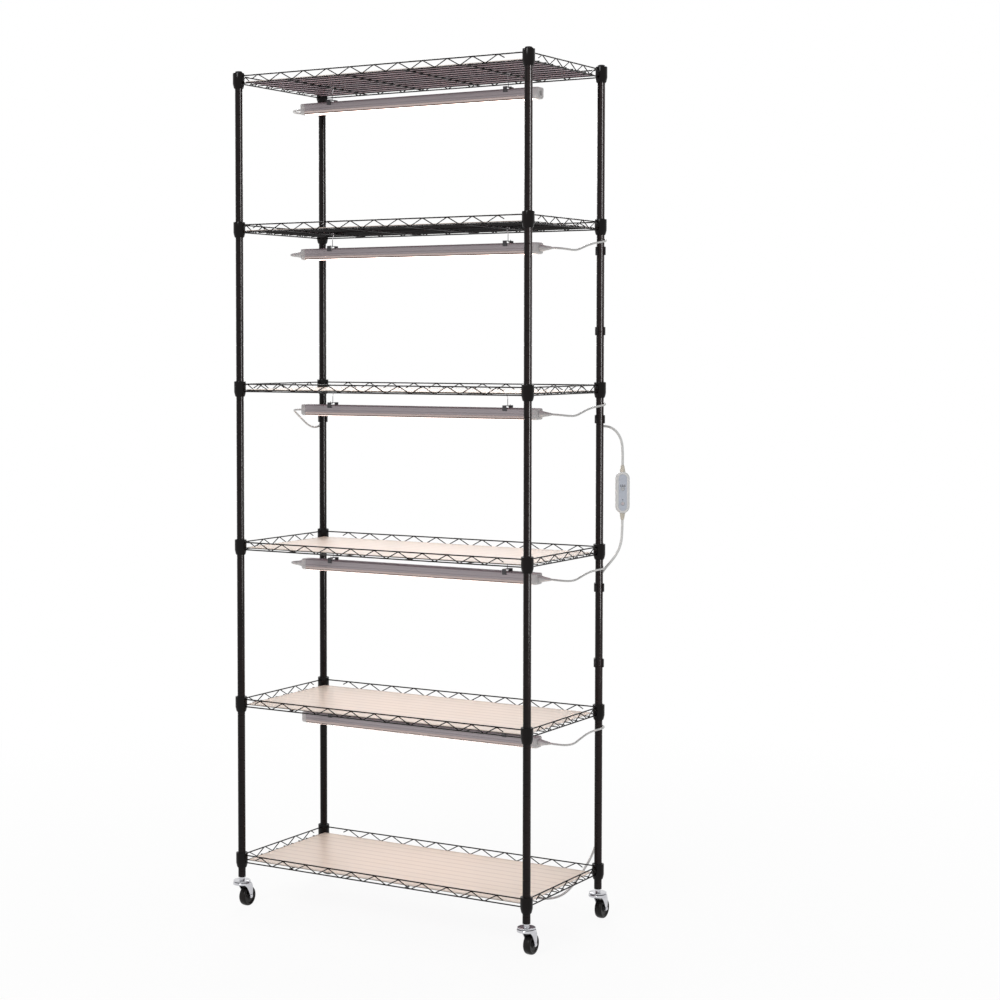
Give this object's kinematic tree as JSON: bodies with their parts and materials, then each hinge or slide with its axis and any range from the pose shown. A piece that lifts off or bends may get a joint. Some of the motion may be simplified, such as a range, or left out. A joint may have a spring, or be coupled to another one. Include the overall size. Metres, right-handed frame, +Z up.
{
  "type": "plant stand",
  "caption": "Rolling wire-shelf plant stand on grooved posts, with a hung linear grow light under each shelf, leads, in-line timer controller and coiled mains lead.",
  "frame": {"origin": "on the floor, midway between the four posts", "axes": "+X along the shelves towards the end with the light leads, -Y the front, +Z up"},
  "size_m": [0.8086, 0.5028, 1.8834],
  "materials": {
    "black_coat": "gloss",
    "black_plastic": "satin",
    "caster_steel": "polished",
    "wheel_rubber": "satin",
    "liner_sheet": "satin",
    "light_aluminium": "satin",
    "diffuser_milk": "satin",
    "board_white": "satin",
    "milky_plastic": "satin",
    "spring_steel": "satin",
    "white_lead": "satin",
    "strap_plastic": "satin",
    "controller_white": "gloss",
    "panel_grey": "satin",
    "circuit": "satin",
    "gland_ivory": "satin",
    "button_white": "satin",
    "plug_white": "satin"
  },
  "bodies": {
    "stand": {"posts_lower": "black_coat", "posts_middle": "black_coat", "posts_upper": "black_coat", "post_caps": "black_plastic", "caster_stems": "caster_steel", "shelf_1": "black_coat", "shelf_2": "black_coat", "shelf_3": "black_coat", "shelf_4": "black_coat", "shelf_5": "black_coat", "shelf_6": "black_coat", "split_sleeves": "black_plastic", "shelf_liners": "liner_sheet", "cable_clips": "strap_plastic", "harness_trunk": "white_lead", "light_leads": "white_lead", "mains_lead_upper": "white_lead", "mains_lead_lower": "white_lead", "mains_coil": "white_lead", "mains_plug": "plug_white", "controller_front": "controller_white", "controller_back": "controller_white", "controller_panel": "panel_grey", "controller_board": "circuit", "controller_glands": "gland_ivory"},
    "light_1": {"light_1_housing": "light_aluminium", "light_1_diffuser": "diffuser_milk", "light_1_led_board": "board_white", "light_1_end_caps": "milky_plastic", "light_1_hangers": "spring_steel"},
    "light_2": {"light_2_housing": "light_aluminium", "light_2_diffuser": "diffuser_milk", "light_2_led_board": "board_white", "light_2_end_caps": "milky_plastic", "light_2_hangers": "spring_steel"},
    "light_3": {"light_3_housing": "light_aluminium", "light_3_diffuser": "diffuser_milk", "light_3_led_board": "board_white", "light_3_end_caps": "milky_plastic", "light_3_hangers": "spring_steel"},
    "light_4": {"light_4_housing": "light_aluminium", "light_4_diffuser": "diffuser_milk", "light_4_led_board": "board_white", "light_4_end_caps": "milky_plastic", "light_4_hangers": "spring_steel"},
    "light_5": {"light_5_housing": "light_aluminium", "light_5_diffuser": "diffuser_milk", "light_5_led_board": "board_white", "light_5_end_caps": "milky_plastic", "light_5_hangers": "spring_steel"},
    "fork_front_left": {"caster_front_left_fork": "caster_steel"},
    "wheel_front_left": {"caster_front_left_wheel": "wheel_rubber"},
    "fork_front_right": {"caster_front_right_fork": "caster_steel"},
    "wheel_front_right": {"caster_front_right_wheel": "wheel_rubber"},
    "fork_rear_right": {"caster_rear_right_fork": "caster_steel"},
    "wheel_rear_right": {"caster_rear_right_wheel": "wheel_rubber"},
    "fork_rear_left": {"caster_rear_left_fork": "caster_steel"},
    "wheel_rear_left": {"caster_rear_left_wheel": "wheel_rubber"},
    "timer_button": {"timer_button": "button_white"},
    "power_button": {"power_button": "button_white"}
  },
  "joints": [
    {"name": "light_1_swing", "type": "hinge", "parent": "stand", "child": "light_1", "pos_m": [-0.009, 0.015, 1.85635], "axis": [1, 0, 0], "range_deg": [-15, 15]},
    {"name": "light_2_swing", "type": "hinge", "parent": "stand", "child": "light_2", "pos_m": [-0.009, 0.015, 1.52615], "axis": [1, 0, 0], "range_deg": [-15, 15]},
    {"name": "light_3_swing", "type": "hinge", "parent": "stand", "child": "light_3", "pos_m": [-0.009, 0.015, 1.17055], "axis": [1, 0, 0], "range_deg": [-15, 15]},
    {"name": "light_4_swing", "type": "hinge", "parent": "stand", "child": "light_4", "pos_m": [-0.009, 0.015, 0.81495], "axis": [1, 0, 0], "range_deg": [-15, 15]},
    {"name": "light_5_swing", "type": "hinge", "parent": "stand", "child": "light_5", "pos_m": [-0.009, 0.015, 0.45935], "axis": [1, 0, 0], "range_deg": [-15, 15]},
    {"name": "front_left_swivel", "type": "hinge", "parent": "stand", "child": "fork_front_left", "pos_m": [-0.3675, -0.1645, 0.0574], "axis": [0, 0, 1], "continuous": true},
    {"name": "front_left_wheel_spin", "type": "hinge", "parent": "fork_front_left", "child": "wheel_front_left", "pos_m": [-0.3675, -0.1445, 0.0225], "axis": [1, 0, 0], "continuous": true},
    {"name": "front_right_swivel", "type": "hinge", "parent": "stand", "child": "fork_front_right", "pos_m": [0.3675, -0.1645, 0.0574], "axis": [0, 0, 1], "continuous": true},
    {"name": "front_right_wheel_spin", "type": "hinge", "parent": "fork_front_right", "child": "wheel_front_right", "pos_m": [0.3675, -0.1445, 0.0225], "axis": [1, 0, 0], "continuous": true},
    {"name": "rear_right_swivel", "type": "hinge", "parent": "stand", "child": "fork_rear_right", "pos_m": [0.3675, 0.1645, 0.0574], "axis": [0, 0, 1], "continuous": true},
    {"name": "rear_right_wheel_spin", "type": "hinge", "parent": "fork_rear_right", "child": "wheel_rear_right", "pos_m": [0.3675, 0.1845, 0.0225], "axis": [1, 0, 0], "continuous": true},
    {"name": "rear_left_swivel", "type": "hinge", "parent": "stand", "child": "fork_rear_left", "pos_m": [-0.3675, 0.1645, 0.0574], "axis": [0, 0, 1], "continuous": true},
    {"name": "rear_left_wheel_spin", "type": "hinge", "parent": "fork_rear_left", "child": "wheel_rear_left", "pos_m": [-0.3675, 0.1845, 0.0225], "axis": [1, 0, 0], "continuous": true},
    {"name": "timer_button_press", "type": "slide", "parent": "stand", "child": "timer_button", "axis": [-0.5249, 0.8512, 0], "range_m": [0, 0.0005], "stiffness_N_per_m": 600, "springref_m": -0.0005},
    {"name": "power_button_press", "type": "slide", "parent": "stand", "child": "power_button", "axis": [-0.5249, 0.8512, 0], "range_m": [0, 0.0005], "stiffness_N_per_m": 600, "springref_m": -0.0005}
  ]
}
